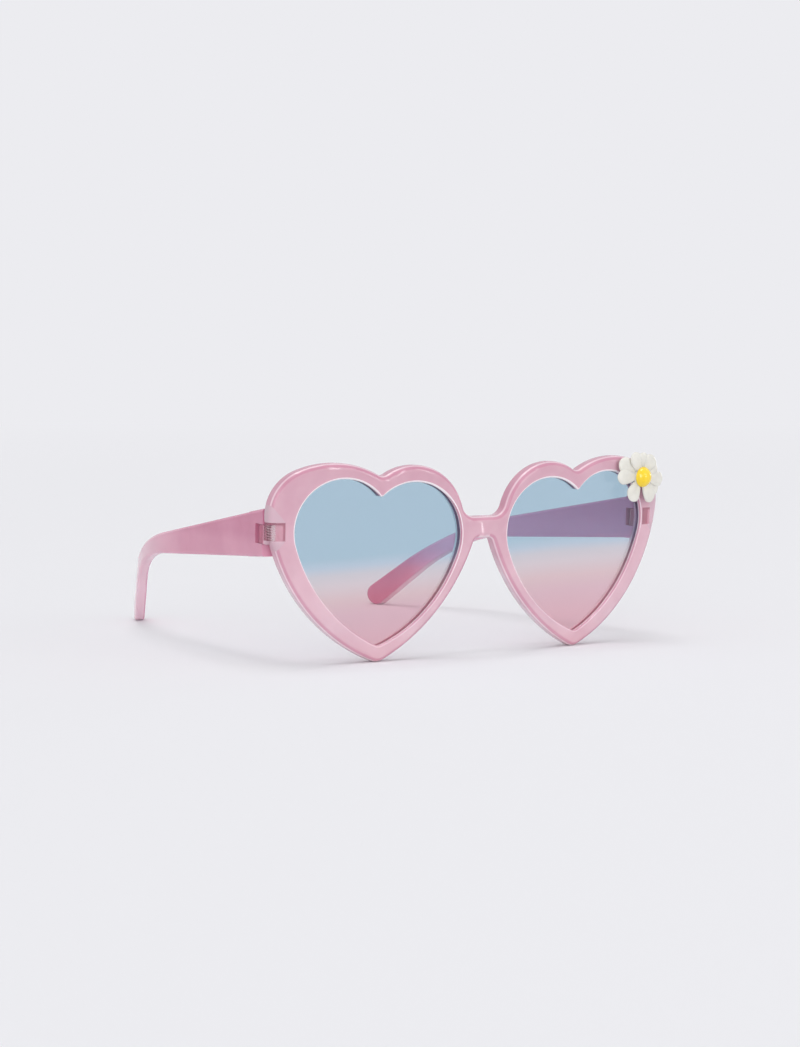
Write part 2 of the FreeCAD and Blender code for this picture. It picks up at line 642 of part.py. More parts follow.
def hinge_screw():
    """The hinge screw: shank, cheese head and driver slot."""
    shank = cylinder("screw_shank", "Sizes.screw_radius", "%s - (%s)" % (SCREW_SEAT, SCREW_END),
                     HINGE_X, HINGE_Y, SCREW_END)
    head = cylinder("screw_head", "Sizes.screw_head_radius", "Sizes.screw_head_height",
                    HINGE_X, HINGE_Y, SCREW_SEAT)
    blank = combine("MultiFuse", "screw_blank", shank, head)
    slot = box("screw_slot", ((HINGE_X + " - 2 * Sizes.screw_head_radius", "4 * Sizes.screw_head_radius"),
                              (HINGE_Y + " - Sizes.screw_slot_width / 2", "Sizes.screw_slot_width"),
                              ("%s + Sizes.screw_head_height - Sizes.screw_slot_depth" % SCREW_SEAT,
                               "2 * Sizes.screw_slot_depth")))
    return combine("Cut", "left_hinge_screw", blank, slot)


def petal(number, direction, share):
    """A thick petal with a round end and soft edges. Every other one is raised and tilted forwards."""
    outline = Outline("petal_%d" % (number + 1), Rotation())
    base_place = ("Sizes.petal_inner", "Sizes.petal_base_width / 2")
    end_place = ("Sizes.petal_reach * %s - Sizes.petal_width / 2" % share, "0")
    base, end = point(*base_place), point(*end_place)
    other_base = Vector(base.x, -base.y, 0)
    sideways = math.sqrt(base.distanceToPoint(end) ** 2 - (size.petal_width / 2) ** 2)
    upper = meet(base, sideways, end, size.petal_width / 2, 1)
    lower = Vector(upper.x, -upper.y, 0)
    outline.line(other_base, lower)
    end_arc = outline.arc(end, lower, upper)
    side = outline.line(upper, base)
    root = outline.line(base, other_base)
    outline.close((side, root))
    outline.place(root, 1, *base_place)
    outline.place(root, 2, base_place[0], "-" + base_place[1])
    outline.place(end_arc, 3, *end_place)
    outline.bind("Radius", end_arc, "Sizes.petal_width / 2")
    slab = extrude(outline, Vector(0, 0, 1), "Sizes.petal_thickness")

    def soft_edge(edge):
        place = middle(edge)
        level = min(abs(place.z), abs(place.z - size.petal_thickness)) < TOUCH
        return size.petal_round if level and place.x > size.petal_inner + TOUCH else None

    body = round_edges("petal_%d_soft" % (number + 1), slab, soft_edge)
    raised = number % 2
    lift = Vector(0, 0, size.adhesive_thickness + size.petal_raise * raised)
    body.Placement = Placement(lift, Rotation(Vector(0, 0, 1), direction)
                               * Rotation(Vector(0, 1, 0), -size.petal_tilt * raised))
    return body


def daisy():
    """The flower on the upper corner of the left rim: petals on a hub, a dome and the bond under them."""
    angle = math.asin((value(SIDE_X) - size.daisy_side_inset) / size.front_curve_radius)
    outward = Vector(math.sin(angle), -math.cos(angle), 0)
    curve_centre = Vector(0, size.front_curve_radius, size.daisy_height)
    seat = Placement(curve_centre + outward * size.front_curve_radius,
                     Rotation(Vector(math.cos(angle), math.sin(angle), 0), Vector(0, 0, 1), outward, "XYZ"))
    hub = cylinder("daisy_hub", "Sizes.hub_radius", "Sizes.hub_thickness", z="Sizes.adhesive_thickness")
    petals = [petal(number, direction, share) for number, (direction, share) in enumerate(PETALS)]
    dome_floor = "Sizes.adhesive_thickness + Sizes.hub_thickness"
    socket = cylinder("dome_socket", "Sizes.dome_radius + Sizes.dome_clearance", str(FAR), z=dome_floor)
    flower = combine("Cut", "daisy_petals", combine("MultiFuse", "daisy_flower", hub, *petals), socket)
    ball = doc.addObject("Part::Sphere", "dome_ball")
    ball_radius = "(Sizes.dome_radius^2 + Sizes.dome_height^2) / (2 * Sizes.dome_height)"
    ball.setExpression("Radius", ball_radius)
    ball.setExpression("Placement.Base.z", "%s + Sizes.dome_height - %s" % (dome_floor, ball_radius))
    cap = cylinder("dome_cap", "Sizes.dome_radius", "2 * Sizes.dome_height", z=dome_floor)
    dome = combine("Common", "daisy_centre", ball, cap)
    flower.Placement = seat
    dome.Placement = seat
    pad = doc.addObject("Part::Cylinder", "daisy_pad")
    pad.setExpression("Radius", "Sizes.adhesive_radius")
    pad.setExpression("Height", "2 * Sizes.adhesive_thickness")
    pad.Placement = seat * Placement(Vector(0, 0, -size.adhesive_thickness), Rotation())
    face = cylinder("front_face", "Sizes.front_curve_radius", str(2 * FAR), "0", "Sizes.front_curve_radius",
                    str(-FAR))
    return flower, dome, combine("Cut", "daisy_adhesive", pad, face)


front_frame = front()
daisy_pieces = daisy()
left_pieces = {"lens": lens(), "temple": temple(), "hinge_screw": hinge_screw()}
right_pieces = [mirrored("right_" + name, piece) for name, piece in left_pieces.items()]
doc.recompute()

# All pieces are tipped back together, so that the hearts and the temples stand on one plane
tip_back = Rotation(Vector(1, 0, 0), size.stand_angle)
stand = Placement(Vector(0, 0, -value(STAND_Y) * math.sin(math.radians(size.stand_angle))), tip_back)
for piece in (front_frame, *daisy_pieces, *left_pieces.values()):
    piece.Placement = stand * piece.Placement
doc.recompute()

for item in doc.Objects:
    if {"Invalid", "Error"} & set(item.State):
        raise RuntimeError("%s failed: %s" % (item.Name, item.State))
nodes = (front_frame, *daisy_pieces, *left_pieces.values(), *right_pieces)
for node in nodes:
    if node.Shape.isNull() or not node.Shape.isValid():
        raise RuntimeError("%s has no valid shape" % node.Label)

os.makedirs("parts", exist_ok=True)
for node in nodes:
    node.Shape.exportStep("parts/%s.step" % node.Label)
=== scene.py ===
import math
from types import SimpleNamespace

import bpy
from mathutils import Matrix, Vector


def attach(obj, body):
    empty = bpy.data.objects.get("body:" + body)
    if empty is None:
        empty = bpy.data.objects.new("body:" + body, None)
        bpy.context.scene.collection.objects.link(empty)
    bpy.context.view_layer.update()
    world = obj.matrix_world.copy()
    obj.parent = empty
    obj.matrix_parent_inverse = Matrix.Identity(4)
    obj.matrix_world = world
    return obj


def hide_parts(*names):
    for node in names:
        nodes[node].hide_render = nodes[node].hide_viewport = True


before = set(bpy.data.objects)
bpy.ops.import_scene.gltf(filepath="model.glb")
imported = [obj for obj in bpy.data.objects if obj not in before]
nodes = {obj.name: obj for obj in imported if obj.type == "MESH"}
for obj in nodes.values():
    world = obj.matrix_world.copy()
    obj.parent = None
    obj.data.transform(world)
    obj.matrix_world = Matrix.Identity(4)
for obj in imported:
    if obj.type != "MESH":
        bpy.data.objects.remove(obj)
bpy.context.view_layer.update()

# Real sizes, in metres and radians
MM = 0.001
FRONT_RADIUS = 390 * MM
FRONT_THICKNESS = 4.3 * MM
# The pieces are drawn upright, then tipped back and set on the floor
TIP_BACK = math.radians(2.57)
STAND_DROP = 0.135 * MM
STAND = Matrix.Translation((0, 0, -STAND_DROP)) @ Matrix.Rotation(TIP_BACK, 4, "X")

# Upright places of the hinge screws, and their sizes
HINGE_X, HINGE_Y, HINGE_Z = 62.05 * MM, 11.824 * MM, 35.4 * MM
SCREW_FOOT_Z = 30.2 * MM
SCREW_SIZES = {"Core Radius": 0.5 * MM, "Thread Depth": 0.25 * MM, "Pitch": 0.7 * MM,
               "Shank Length": 10.33 * MM, "Head Radius": 1.3 * MM, "Head Height": 0.9 * MM,
               "Slot Width": 0.4 * MM, "Slot Depth": 0.45 * MM}
SHANK_SIDES, THREAD_SIDES, HEAD_SIDES = 24, 6, 40
# Length of the blade that cuts the slot, in radii of the head
SLOT_LENGTH = 4.0

# Upright place of the daisy on the curved front
DAISY_X, DAISY_Z = 56.25 * MM, 48.2 * MM
PETAL_START = 1.6 * MM
# Each petal: direction in degrees, reach and breadth in mm, tilt in degrees, height of its middle in mm
PETALS = ((178, 9.9, 5.4, 2, 1.3), (152, 10.0, 6.0, 0, 1.1), (121, 8.3, 5.2, 4, 1.7), (88, 7.2, 5.0, 6, 1.3),
          (56, 7.4, 5.8, 5, 1.7), (30, 6.9, 5.4, 6, 1.3), (-7, 8.8, 5.2, 2, 1.6), (-32, 8.7, 5.0, 0, 1.2),
          (-61, 8.4, 5.4, 4, 1.7), (-127, 8.2, 6.4, 4, 1.5))
# Hub in metres. Half thickness, rise of the cupped edges and depth of the crease of a petal in mm
DAISY_SIZES = {"Hub Radius": 2.9 * MM, "Hub Height": 1.8 * MM, "Half Thickness": 0.8, "Cup": 0.35,
               "Crease": 0.1}
HUB_FOOT = 0.4 * MM
# Share of the full breadth along a petal, from its root to its end
PETAL_FULLNESS = ((0.0, 0.62), (0.3, 0.66), (0.6, 0.84), (0.85, 1.0), (1.0, 1.0))
CREASE_NARROWNESS = 14.0
PETAL_SEGMENTS, PETAL_RINGS, HUB_SIDES = 40, 30, 40

# Camera, fitted to the photograph of 800 by 1047 pixels
PHOTO_HEIGHT = 1047
FOCAL_PIXELS = 2193.5
SENSOR_SIZE = 36
CAMERA_PLACE = Vector((-344.9, -502.4, 79.965)) * MM
CAMERA_AZIMUTH, CAMERA_ELEVATION = math.radians(-32.32), math.radians(4.07)
NEAREST_SEEN = 10 * MM

BACKGROUND = "#ECECF0"


def linear(colour):
    """An sRGB hex colour as linear red, green, blue and alpha."""
    channels = (int(colour[place:place + 2], 16) / 255 for place in (1, 3, 5))
    return (*(c / 12.92 if c <= 0.04045 else ((c + 0.055) / 1.055) ** 2.4 for c in channels), 1.0)


def add(tree, kind, settings=None, inputs=None, stops=()):
    """Adds a node. Each input is a value, a socket to link, or a node whose first output is linked.
    Stops are positions and hex colours along a ramp."""
    node = tree.nodes.new(kind)
    for name, value in (settings or {}).items():
        setattr(node, name, value)
    for _ in stops[2:]:
        node.color_ramp.elements.new(0.5)
    for number, (position, colour) in enumerate(stops):
        node.color_ramp.elements[number].position = position
        node.color_ramp.elements[number].color = linear(colour)
    for name, value in (inputs or {}).items():
        if isinstance(value, bpy.types.Node):
            value = value.outputs[0]
        if isinstance(value, bpy.types.NodeSocket):
            tree.links.new(value, node.inputs[name])
        else:
            node.inputs[name].default_value = value
    return node


def new_material(name):
    """An empty material and its node tree."""
    material = bpy.data.materials.new(name)
    material.use_nodes = True
    material.node_tree.nodes.clear()
    return material, material.node_tree


def shares(stops, whole):
    """Stops at real places, as shares of a whole length."""
    return [(place / whole, colour) for place, colour in stops]


def upright_place(tree):
    """A point of the part as it is drawn, before it is tipped back."""
    return add(tree, "ShaderNodeMapping", inputs={
        "Vector": add(tree, "ShaderNodeTexCoord").outputs["Object"], "Rotation": (-TIP_BACK, 0, 0),
        "Location": (0, STAND_DROP * math.sin(TIP_BACK), STAND_DROP * math.cos(TIP_BACK))})


def screw_distance(tree, across, back):
    """Distance of a point from the axis of the screw on its side."""
    flat = add(tree, "ShaderNodeCombineXYZ", inputs={"X": across, "Y": back})
    return add(tree, "ShaderNodeVectorMath", {"operation": "DISTANCE"}, {
        0: flat, 1: (HINGE_X, HINGE_Y, 0)}).outputs["Value"]


def front_spot(tree):
    """Where a point of the front lies: its upright place, sideways, back and height, its distance from the
    middle plane, its side (1 on the wearer's left, -1 on the right) and its depth below the curved face."""
    place = upright_place(tree)
    axes = add(tree, "ShaderNodeSeparateXYZ", inputs={0: place}).outputs
    across = add(tree, "ShaderNodeMath", {"operation": "ABSOLUTE"}, {0: axes["X"]})
    side = add(tree, "ShaderNodeMath", {"operation": "SIGN"}, {0: axes["X"]})
    spoke = add(tree, "ShaderNodeMapping", inputs={
        "Vector": place, "Location": (0, -FRONT_RADIUS, 0), "Scale": (1, 1, 0)})
    reach = add(tree, "ShaderNodeVectorMath", {"operation": "LENGTH"}, {0: spoke})
    depth = add(tree, "ShaderNodeMath", {"operation": "SUBTRACT"}, {
        0: FRONT_RADIUS, 1: reach.outputs["Value"]})
    return SimpleNamespace(place=place, sideways=axes["X"], back=axes["Y"], height=axes["Z"], across=across,
                           side=side, depth=depth)


# The clear window over each hinge widens towards the side
WINDOW_INNER_X, WINDOW_OUTER_X = 60.9 * MM, 65.2 * MM
WINDOW_INNER_HALF, WINDOW_OUTER_HALF = 2.7 * MM, 7.6 * MM
WINDOW_Z = HINGE_Z + 1.0 * MM
WINDOW_EDGE = 0.3 * MM
WINDOW_DEPTH = FRONT_THICKNESS - 0.4 * MM
# A pane in it shows the lug and its screw. It starts and ends at these distances from the middle plane
PANE_HALF = 2.6 * MM
PANE_RIGHT, PANE_LEFT = (60.8 * MM, 66.0 * MM), (58.8 * MM, 62.2 * MM)
SIDE_START_X = 63.5 * MM
# The window's greyish colour is painted shade: the dim hinge as seen through the clear plastic. The pane is
# pink
WINDOW_SHADE_COLOUR, PANE_COLOUR = "#D4B3C0", "#E29FB2"
PANE_CLARITY, SIDE_VEIL, LUG_VEIL = 0.6, 0.4, 0.45
LUG_DEPTH = FRONT_THICKNESS + 0.1 * MM
BORE_RADIUS = 1.0 * MM


def hinge_window(tree, spot):
    """Masks of the window over each hinge: all of it, its clear side, its pane and the band that lets
    light in."""
    level = add(tree, "ShaderNodeMath", {"operation": "SUBTRACT"}, {0: spot.height, 1: WINDOW_Z})
    rise = add(tree, "ShaderNodeMath", {"operation": "ABSOLUTE"}, {0: level})
    half = add(tree, "ShaderNodeMapRange", {"clamp": False}, {
        "Value": spot.across, "From Min": WINDOW_INNER_X, "From Max": WINDOW_OUTER_X,
        "To Min": WINDOW_INNER_HALF, "To Max": WINDOW_OUTER_HALF})
    in_outline = add(tree, "ShaderNodeMath", {"operation": "SUBTRACT"}, {0: half, 1: rise})
    pane_start, pane_end = (
        add(tree, "ShaderNodeMapRange", inputs={
            "Value": spot.side, "From Min": -1.0, "To Min": right, "To Max": left})
        for right, left in zip(PANE_RIGHT, PANE_LEFT))
    to_end = add(tree, "ShaderNodeMath", {"operation": "SUBTRACT"}, {0: pane_end, 1: spot.across})
    in_height = add(tree, "ShaderNodeMath", {"operation": "SUBTRACT"}, {0: PANE_HALF, 1: rise})
    in_pane = add(tree, "ShaderNodeMath", {"operation": "MINIMUM"}, {0: in_height, 1: to_end})
    in_front = add(tree, "ShaderNodeMath", {"operation": "LESS_THAN"}, {0: spot.depth, 1: WINDOW_DEPTH})
    masks = []
    for limit, start in ((in_outline, WINDOW_INNER_X), (in_pane, SIDE_START_X), (in_pane, pane_start),
                         (in_height, PANE_LEFT[0])):
        past_start = add(tree, "ShaderNodeMath", {"operation": "SUBTRACT"}, {0: spot.across, 1: start})
        inside = add(tree, "ShaderNodeMath", {"operation": "MINIMUM"}, {0: limit, 1: past_start})
        soft = add(tree, "ShaderNodeMapRange", inputs={"Value": inside, "From Max": WINDOW_EDGE})
        masks.append(add(tree, "ShaderNodeMath", {"operation": "MULTIPLY"}, {0: soft, 1: in_front}))
    return masks


# Middle of each heart, seen from the front. What faces it by these lengths belongs to the opening
HEART_X, HEART_Z = 33 * MM, 27 * MM
FACING_FROM, FACING_TO = 2 * MM, 6 * MM
# Depth of the painted highlight on the edge of each opening: deeper on the sides that face left and down,
# fainter low down
LIP_DEPTH, LIP_DEPTH_LEAST = 0.6 * MM, 0.07 * MM
LIP_SLANT_FROM, LIP_SLANT_TO = -0.2, 0.3
LIP_FAINT_AT, LIP_FULL_AT, LIP_FAINT = 14 * MM, 34 * MM, 0.35
LIP_HIGHLIGHT_COLOUR = "#FCEFF4"
# Depths between which the clear wall behind the lens begins; it is painted white, as painted light coming
# through the clear plastic. It is pink near the hinge
BEHIND_LENS_FROM, BEHIND_LENS_TO = 2.4 * MM, 2.9 * MM
PINK_END_X, PINK_END_Z, PINK_END_EDGE = 50 * MM, 27 * MM, 4 * MM
LIT_WALL_COLOUR = "#FFFFFF"


def opening_masks(tree, spot):
    """Masks of the painted highlight on the edge of each opening and of the painted light on the clear wall
    behind its lens.
    """
    normal = add(tree, "ShaderNodeSeparateXYZ", inputs={
        0: add(tree, "ShaderNodeTexCoord").outputs["Normal"]}).outputs
    outwards = add(tree, "ShaderNodeMath", {"operation": "MULTIPLY"}, {0: normal["X"], 1: spot.side})
    to_middle = add(tree, "ShaderNodeVectorMath", {"operation": "SUBTRACT"}, {
        0: (HEART_X, HEART_Z, 0),
        1: add(tree, "ShaderNodeCombineXYZ", inputs={"X": spot.across, "Y": spot.height})})
    inwards = add(tree, "ShaderNodeVectorMath", {"operation": "DOT_PRODUCT"}, {
        0: to_middle, 1: add(tree, "ShaderNodeCombineXYZ", inputs={"X": outwards, "Y": normal["Z"]})})
    round_opening = add(tree, "ShaderNodeMapRange", inputs={
        "Value": inwards.outputs["Value"], "From Min": FACING_FROM, "From Max": FACING_TO})

    # Painted highlight on the edge of the opening, on the sides that face left and down
    slant = add(tree, "ShaderNodeMath", {"operation": "SUBTRACT"}, {0: normal["X"], 1: normal["Z"]})
    lip_depth = add(tree, "ShaderNodeMapRange", inputs={
        "Value": slant, "From Min": LIP_SLANT_FROM, "From Max": LIP_SLANT_TO, "To Min": LIP_DEPTH_LEAST,
        "To Max": LIP_DEPTH})
    shallow = add(tree, "ShaderNodeMath", {"operation": "LESS_THAN"}, {0: spot.depth, 1: lip_depth})
    strength = add(tree, "ShaderNodeMapRange", inputs={
        "Value": spot.height, "From Min": LIP_FAINT_AT, "From Max": LIP_FULL_AT, "To Min": LIP_FAINT})

    # Painted light on the clear wall behind the lens, except near the hinge
    behind = add(tree, "ShaderNodeMapRange", inputs={
        "Value": spot.depth, "From Min": BEHIND_LENS_FROM, "From Max": BEHIND_LENS_TO})
    to_inside = add(tree, "ShaderNodeMath", {"operation": "SUBTRACT"}, {0: PINK_END_X, 1: spot.across})
    to_under = add(tree, "ShaderNodeMath", {"operation": "SUBTRACT"}, {0: PINK_END_Z, 1: spot.height})
    from_end = add(tree, "ShaderNodeMath", {"operation": "MAXIMUM"}, {0: to_inside, 1: to_under})
    off_hinge = add(tree, "ShaderNodeMapRange", inputs={
        "Value": from_end, "From Min": -PINK_END_EDGE, "From Max": 0.0})

    masks = []
    for first, second in ((shallow, strength), (behind, off_hinge)):
        both = add(tree, "ShaderNodeMath", {"operation": "MULTIPLY"}, {0: first, 1: second})
        masks.append(add(tree, "ShaderNodeMath", {"operation": "MULTIPLY"}, {0: round_opening, 1: both}))
    return masks


# Colours by depth below the front face, in mm: pearl face, a painted darker band of shade on the rounding
# with a painted highlight line past it, pale walls, pink back and lug
DEPTH_SCALE = 5.0
FRONT_COLOURS_AND_EDGE_LIGHT = ((0.0, "#E2C1CC"), (0.04, "#E2C1CC"), (0.15, "#D8A6B8"), (0.5, "#DBADBE"), (0.68, "#F6E6EC"),
                 (0.92, "#F6E6EC"), (1.1, "#E0BAC9"), (1.7, "#EDDDE4"), (3.2, "#ECD9E1"), (4.0, "#E2BCCA"),
                 (4.42, "#E0B5C5"), (4.5, "#EAB0C2"), (DEPTH_SCALE, "#EAB0C2"))
# The pearl lies in faint clouds; the front is painted lighter low down and darker at the top, as painted
# floor light. Heights in mm
PEARL_CLOUD = 9 * MM
PEARL_COLOURS = ((0.35, "#F7F0F3"), (0.65, "#FFFFFF"))
HEIGHT_SCALE = 60
PAINTED_FLOOR_LIGHT_BY_HEIGHT = ((0, "#FFF4F4"), (9, "#FFFFFF"), (22, "#FFF9FB"), (46, "#F4E6EC"), (HEIGHT_SCALE, "#F2E3E9"))
# The walls start at these depths, and are pinker above these heights
WALL_FROM, WALL_TO = 1.0 * MM, 1.5 * MM
PINK_WALL_FROM, PINK_WALL_TO = 22 * MM, 36 * MM
HIGH_WALL_COLOUR = "#F2D2DD"


def front_colour(tree, spot, clear_and_painted_places):
    """Colour of the front by depth and height, with painted shade, highlight and floor light in it, under the
    colours of its clear places, some of which are painted light and shade.
    """
    depth_share = add(tree, "ShaderNodeMath", {"operation": "DIVIDE"}, {0: spot.depth, 1: DEPTH_SCALE * MM})
    colour = add(tree, "ShaderNodeValToRGB", inputs={0: depth_share},
                 stops=shares(FRONT_COLOURS_AND_EDGE_LIGHT, DEPTH_SCALE))
    cloud = add(tree, "ShaderNodeTexNoise", inputs={
        "Vector": spot.place, "Scale": 1 / PEARL_CLOUD, "Detail": 3.0})
    pearl = add(tree, "ShaderNodeValToRGB", inputs={0: cloud}, stops=PEARL_COLOURS)
    # Painted floor light: lighter low down, darker towards the top
    height_share = add(tree, "ShaderNodeMath", {"operation": "DIVIDE"}, {
        0: spot.height, 1: HEIGHT_SCALE * MM})
    painted_floor_light = add(tree, "ShaderNodeValToRGB", inputs={0: height_share},
                  stops=shares(PAINTED_FLOOR_LIGHT_BY_HEIGHT, HEIGHT_SCALE))
    walled = add(tree, "ShaderNodeMapRange", inputs={
        "Value": spot.depth, "From Min": WALL_FROM, "From Max": WALL_TO})
    raised = add(tree, "ShaderNodeMapRange", inputs={
        "Value": spot.height, "From Min": PINK_WALL_FROM, "From Max": PINK_WALL_TO})
    high_wall = add(tree, "ShaderNodeMath", {"operation": "MULTIPLY"}, {0: walled, 1: raised})
    for share, layer in ((1.0, pearl), (1.0, painted_floor_light), (high_wall, linear(HIGH_WALL_COLOUR))):
        colour = add(tree, "ShaderNodeMix", {"data_type": "RGBA", "blend_type": "MULTIPLY"}, {
            0: share, 6: colour, 7: layer}).outputs[2]
    for mask, cover in clear_and_painted_places:
        colour = add(tree, "ShaderNodeMix", {"data_type": "RGBA"}, {
            0: mask, 6: colour, 7: linear(cover)}).outputs[2]
    return colour


# Rounding of the bridge: its radius across, how far its face leans back from its foot to its top, and the
# distances from the middle plane between which the rounding ends
BRIDGE_ROUND, BRIDGE_FOOT, BRIDGE_TOP, BRIDGE_LEAN = 30 * MM, 32.5 * MM, 39.5 * MM, 0.4
BRIDGE_END_FROM, BRIDGE_END_TO = 4 * MM, 7 * MM


def bridge_rounding(tree, spot):
    """The direction that the surface faces. The bridge leans back towards its top and to both sides."""
    lean_side = add(tree, "ShaderNodeMath", {"operation": "DIVIDE"}, {0: spot.sideways, 1: BRIDGE_ROUND})
    lean_up = add(tree, "ShaderNodeMapRange", inputs={
        "Value": spot.height, "From Min": BRIDGE_FOOT, "From Max": BRIDGE_TOP, "To Max": BRIDGE_LEAN})
    near = add(tree, "ShaderNodeMapRange", inputs={
        "Value": spot.across, "From Min": BRIDGE_END_FROM, "From Max": BRIDGE_END_TO, "To Min": 1.0,
        "To Max": 0.0})
    lean = add(tree, "ShaderNodeVectorMath", {"operation": "SCALE"}, {
        0: add(tree, "ShaderNodeCombineXYZ", inputs={"X": lean_side, "Z": lean_up}), "Scale": near})
    leaning = add(tree, "ShaderNodeVectorMath", {"operation": "ADD"}, {
        0: add(tree, "ShaderNodeNewGeometry").outputs["Normal"], 1: lean})
    return add(tree, "ShaderNodeVectorMath", {"operation": "NORMALIZE"}, {0: leaning})


# Share of light that passes the pearl face and the walls, and the depths between which it rises and falls
FACE_CLARITY, WALL_CLARITY = 0.04, 0.12
CLEAR_FROM, CLEAR_TO = 0.3 * MM, 1.7 * MM
FILLED_FROM, FILLED_TO = 3.2 * MM, 4.1 * MM


def clear_front():
    """Clear polycarbonate with pearl pigment, moulded and polished, lacquered pink behind: a soft pearly face
    with deep gloss, pale walls, and a clear window in which the hinge shows. Its colour holds painted light:
    a highlight on the roundings and the opening edges, light on the walls behind the lenses and low down,
    and shade in the window."""
    material, tree = new_material("pearl_polycarbonate_lacquered_behind")
    spot = front_spot(tree)
    window, clear_side, pane, lit_band = hinge_window(tree, spot)
    lip_highlight, lit_back_wall = opening_masks(tree, spot)
    # The white wall behind the lenses is painted light, the greyish window painted shade, and the pale
    # opening edges a painted highlight
    colour = front_colour(tree, spot, ((lit_back_wall, LIT_WALL_COLOUR), (window, WINDOW_SHADE_COLOUR),
                                       (pane, PANE_COLOUR), (lip_highlight, LIP_HIGHLIGHT_COLOUR)))

    clearing = add(tree, "ShaderNodeMapRange", inputs={
        "Value": spot.depth, "From Min": CLEAR_FROM, "From Max": CLEAR_TO, "To Min": FACE_CLARITY,
        "To Max": WALL_CLARITY})
    filling = add(tree, "ShaderNodeMapRange", inputs={
        "Value": spot.depth, "From Min": FILLED_FROM, "From Max": FILLED_TO, "To Max": WALL_CLARITY})
    plain_clarity = add(tree, "ShaderNodeMath", {"operation": "SUBTRACT", "use_clamp": True}, {
        0: clearing, 1: filling})
    pane_clarity = add(tree, "ShaderNodeMath", {"operation": "MULTIPLY"}, {0: pane, 1: PANE_CLARITY})
    clarity = add(tree, "ShaderNodeMath", {"operation": "MAXIMUM"}, {0: plain_clarity, 1: pane_clarity})

    # The bore shows its screw, light enters by the pane, and the window's side and the lug are half clear
    opening = add(tree, "ShaderNodeMath", {"operation": "LESS_THAN"}, {
        0: screw_distance(tree, spot.across, spot.back), 1: BORE_RADIUS})
    lamplight = add(tree, "ShaderNodeLightPath").outputs["Is Shadow Ray"]
    lug = add(tree, "ShaderNodeMath", {"operation": "GREATER_THAN"}, {0: spot.depth, 1: LUG_DEPTH})
    for mask, share in ((lit_band, lamplight), (clear_side, 1 - SIDE_VEIL), (lug, 1 - LUG_VEIL)):
        see_through = add(tree, "ShaderNodeMath", {"operation": "MULTIPLY"}, {0: mask, 1: share})
        opening = add(tree, "ShaderNodeMath", {"operation": "MAXIMUM"}, {0: opening, 1: see_through})
    solid = add(tree, "ShaderNodeMath", {"operation": "SUBTRACT", "use_clamp": True}, {0: 1.0, 1: opening})

    body = add(tree, "ShaderNodeBsdfPrincipled", inputs={
        "Normal": bridge_rounding(tree, spot), "Base Color": colour, "Roughness": 0.05, "IOR": 1.49,
        "Transmission Weight": clarity, "Subsurface Weight": 0.2, "Subsurface Radius": (1.0, 0.6, 0.7),
        "Subsurface Scale": 1.5 * MM, "Alpha": solid})
    add(tree, "ShaderNodeOutputMaterial", inputs={"Surface": body})
    return material


# Colours of the temples by height, in mm, lighter low down as a painted reflection of the floor and darker at
# the top, with faint clouds of pearl
TEMPLE_TOP = 50
TEMPLE_COLOURS_AND_FLOOR_REFLECTION = ((20, "#DC9FB5"), (32.5, "#D999B1"), (35.5, "#D08AA5"), (44, "#CD85A1"))
TEMPLE_CLOUD = 12 * MM
TEMPLE_PEARL = ((0.35, "#F6EFF2"), (0.65, "#FFFFFF"))
# The outer sides turn pale between these distances behind the front, as painted light shining through the
# thin end from behind
TEMPLE_PALE_FROM, TEMPLE_PALE_TO, TEMPLE_BACKLIGHT_SHARE = 60 * MM, 112 * MM, 0.8
TEMPLE_BACKLIGHT_COLOUR = "#EDCFDA"
# Colours of the inner sides by distance behind the front, in mm. They are paler towards the lower edge
TEMPLE_END, INSIDE_SHARE = 125, 0.7
INSIDE_COLOURS = ((20, "#CF86B0"), (60, "#D28BB2"), (85, "#E3A3C6"), (100, "#F3BFDA"), (108, "#F0AFCB"),
                  (114, "#DF86A6"), (120, "#D2779A"))
INSIDE_PALE_FROM, INSIDE_PALE_TO, INSIDE_PALE_SHARE = 41 * MM, 31 * MM, 0.4
INSIDE_PALE_COLOUR = "#F6C0E0"
# A face belongs to the outer or inner side as it faces outwards by these shares
OUTER_FROM, OUTER_TO = -0.5, 0.0
INNER_FROM, INNER_TO = -0.2, -0.8


